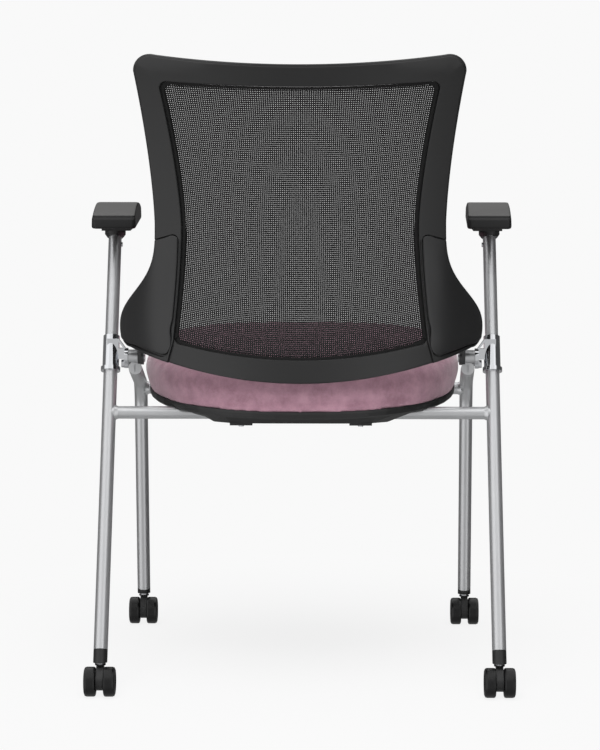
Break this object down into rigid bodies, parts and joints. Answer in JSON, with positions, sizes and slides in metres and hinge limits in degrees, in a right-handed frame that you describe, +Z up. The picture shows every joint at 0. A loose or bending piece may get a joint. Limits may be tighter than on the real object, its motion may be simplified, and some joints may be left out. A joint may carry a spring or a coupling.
{
  "type": "nesting chair",
  "caption": "Nesting armchair with a tilting mesh back, a padded seat that flips up, a tubular frame with fixed padded arms, and twin-wheel casters.",
  "frame": {"origin": "on the floor, under the middle of the chair's bounding box", "axes": "+Z up; the sitter faces -Y; +X is the sitter's left"},
  "size_m": [0.6526, 0.5681, 0.9394],
  "materials": {
    "silver_paint": "satin silver-grey powder coat",
    "chrome": "bright",
    "steel": "plain zinc-plated",
    "black_steel": "black paint",
    "black_plastic": "fine texture",
    "cover_plastic": "fine texture, a little lighter",
    "pad": "soft, fine grain",
    "mesh": "open knit, see-through",
    "upholstery": "woven mauve",
    "board": "dark-stained plywood",
    "nylon": "natural",
    "rubber": "matt",
    "wheel": "smooth"
  },
  "bodies": {
    "chair": {"rear_leg_left": "silver_paint", "rear_leg_right": "silver_paint", "arm_post_left": "silver_paint", "arm_post_right": "silver_paint", "front_leg_left": "silver_paint", "front_leg_right": "silver_paint", "rear_crossbar": "silver_paint", "front_crossbar": "silver_paint", "collar_left": "chrome", "collar_right": "chrome", "clamp_left": "silver_paint", "clamp_right": "silver_paint", "clamp_bolts": "steel", "pivot_pins": "steel", "rear_leg_caps": "black_plastic", "front_leg_caps": "black_plastic", "arm_base_left": "black_plastic", "arm_base_right": "black_plastic", "arm_pad_left": "pad", "arm_pad_right": "pad", "arm_screws": "steel", "caster_stems": "steel"},
    "back": {"back_frame": "black_plastic", "back_mesh": "mesh", "mesh_carrier": "black_plastic", "side_cover_left": "cover_plastic", "side_cover_right": "cover_plastic", "back_bracket_left": "black_steel", "back_bracket_right": "black_steel", "torsion_bushes": "rubber", "bracket_screws": "steel"},
    "seat": {"seat_cushion": "upholstery", "seat_board": "board", "seat_shell": "black_plastic", "hinge_bushes": "nylon", "hinge_caps": "black_plastic", "hinge_screws": "steel", "seat_bumpers": "rubber"},
    "rear_left_caster": {"rear_left_housing": "black_plastic", "rear_left_axle": "steel"},
    "rear_left_outer_wheel": {"rear_left_wheel_outer": "wheel"},
    "rear_left_inner_wheel": {"rear_left_wheel_inner": "wheel"},
    "rear_right_caster": {"rear_right_housing": "black_plastic", "rear_right_axle": "steel"},
    "rear_right_outer_wheel": {"rear_right_wheel_outer": "wheel"},
    "rear_right_inner_wheel": {"rear_right_wheel_inner": "wheel"},
    "front_left_caster": {"front_left_housing": "black_plastic", "front_left_axle": "steel"},
    "front_left_outer_wheel": {"front_left_wheel_outer": "wheel"},
    "front_left_inner_wheel": {"front_left_wheel_inner": "wheel"},
    "front_right_caster": {"front_right_housing": "black_plastic", "front_right_axle": "steel"},
    "front_right_outer_wheel": {"front_right_wheel_outer": "wheel"},
    "front_right_inner_wheel": {"front_right_wheel_inner": "wheel"}
  },
  "joints": [
    {"name": "seat_flip", "type": "hinge", "parent": "chair", "child": "seat", "pos_m": [0, 0.08092, 0.4], "axis": [-1, 0, 0], "range_deg": [0, 57]},
    {"name": "back_tilt", "type": "hinge", "parent": "chair", "child": "back", "pos_m": [0, 0.04653, 0.481], "axis": [-1, 0, 0], "range_deg": [0, 8], "stiffness_Nm_per_rad": 160, "springref_deg": -6.88},
    {"name": "rear_left_swivel", "type": "hinge", "parent": "chair", "child": "rear_left_caster", "pos_m": [0.29416, 0.22792, 0.049], "axis": [0, 0, 1], "continuous": true},
    {"name": "rear_left_outer_spin", "type": "hinge", "parent": "rear_left_caster", "child": "rear_left_outer_wheel", "pos_m": [0.29416, 0.24092, 0.022], "axis": [-1, 0, 0], "continuous": true},
    {"name": "rear_left_inner_spin", "type": "hinge", "parent": "rear_left_caster", "child": "rear_left_inner_wheel", "pos_m": [0.29416, 0.24092, 0.022], "axis": [-1, 0, 0], "continuous": true},
    {"name": "rear_right_swivel", "type": "hinge", "parent": "chair", "child": "rear_right_caster", "pos_m": [-0.29416, 0.22792, 0.049], "axis": [0, 0, 1], "continuous": true},
    {"name": "rear_right_outer_spin", "type": "hinge", "parent": "rear_right_caster", "child": "rear_right_outer_wheel", "pos_m": [-0.29416, 0.24092, 0.022], "axis": [-1, 0, 0], "continuous": true},
    {"name": "rear_right_inner_spin", "type": "hinge", "parent": "rear_right_caster", "child": "rear_right_inner_wheel", "pos_m": [-0.29416, 0.24092, 0.022], "axis": [-1, 0, 0], "continuous": true},
    {"name": "front_left_swivel", "type": "hinge", "parent": "chair", "child": "front_left_caster", "pos_m": [0.26585, -0.27338, 0.049], "axis": [0, 0, 1], "continuous": true},
    {"name": "front_left_outer_spin", "type": "hinge", "parent": "front_left_caster", "child": "front_left_outer_wheel", "pos_m": [0.26585, -0.26038, 0.022], "axis": [-1, 0, 0], "continuous": true},
    {"name": "front_left_inner_spin", "type": "hinge", "parent": "front_left_caster", "child": "front_left_inner_wheel", "pos_m": [0.26585, -0.26038, 0.022], "axis": [-1, 0, 0], "continuous": true},
    {"name": "front_right_swivel", "type": "hinge", "parent": "chair", "child": "front_right_caster", "pos_m": [-0.26585, -0.27338, 0.049], "axis": [0, 0, 1], "continuous": true},
    {"name": "front_right_outer_spin", "type": "hinge", "parent": "front_right_caster", "child": "front_right_outer_wheel", "pos_m": [-0.26585, -0.26038, 0.022], "axis": [-1, 0, 0], "continuous": true},
    {"name": "front_right_inner_spin", "type": "hinge", "parent": "front_right_caster", "child": "front_right_inner_wheel", "pos_m": [-0.26585, -0.26038, 0.022], "axis": [-1, 0, 0], "continuous": true}
  ]
}
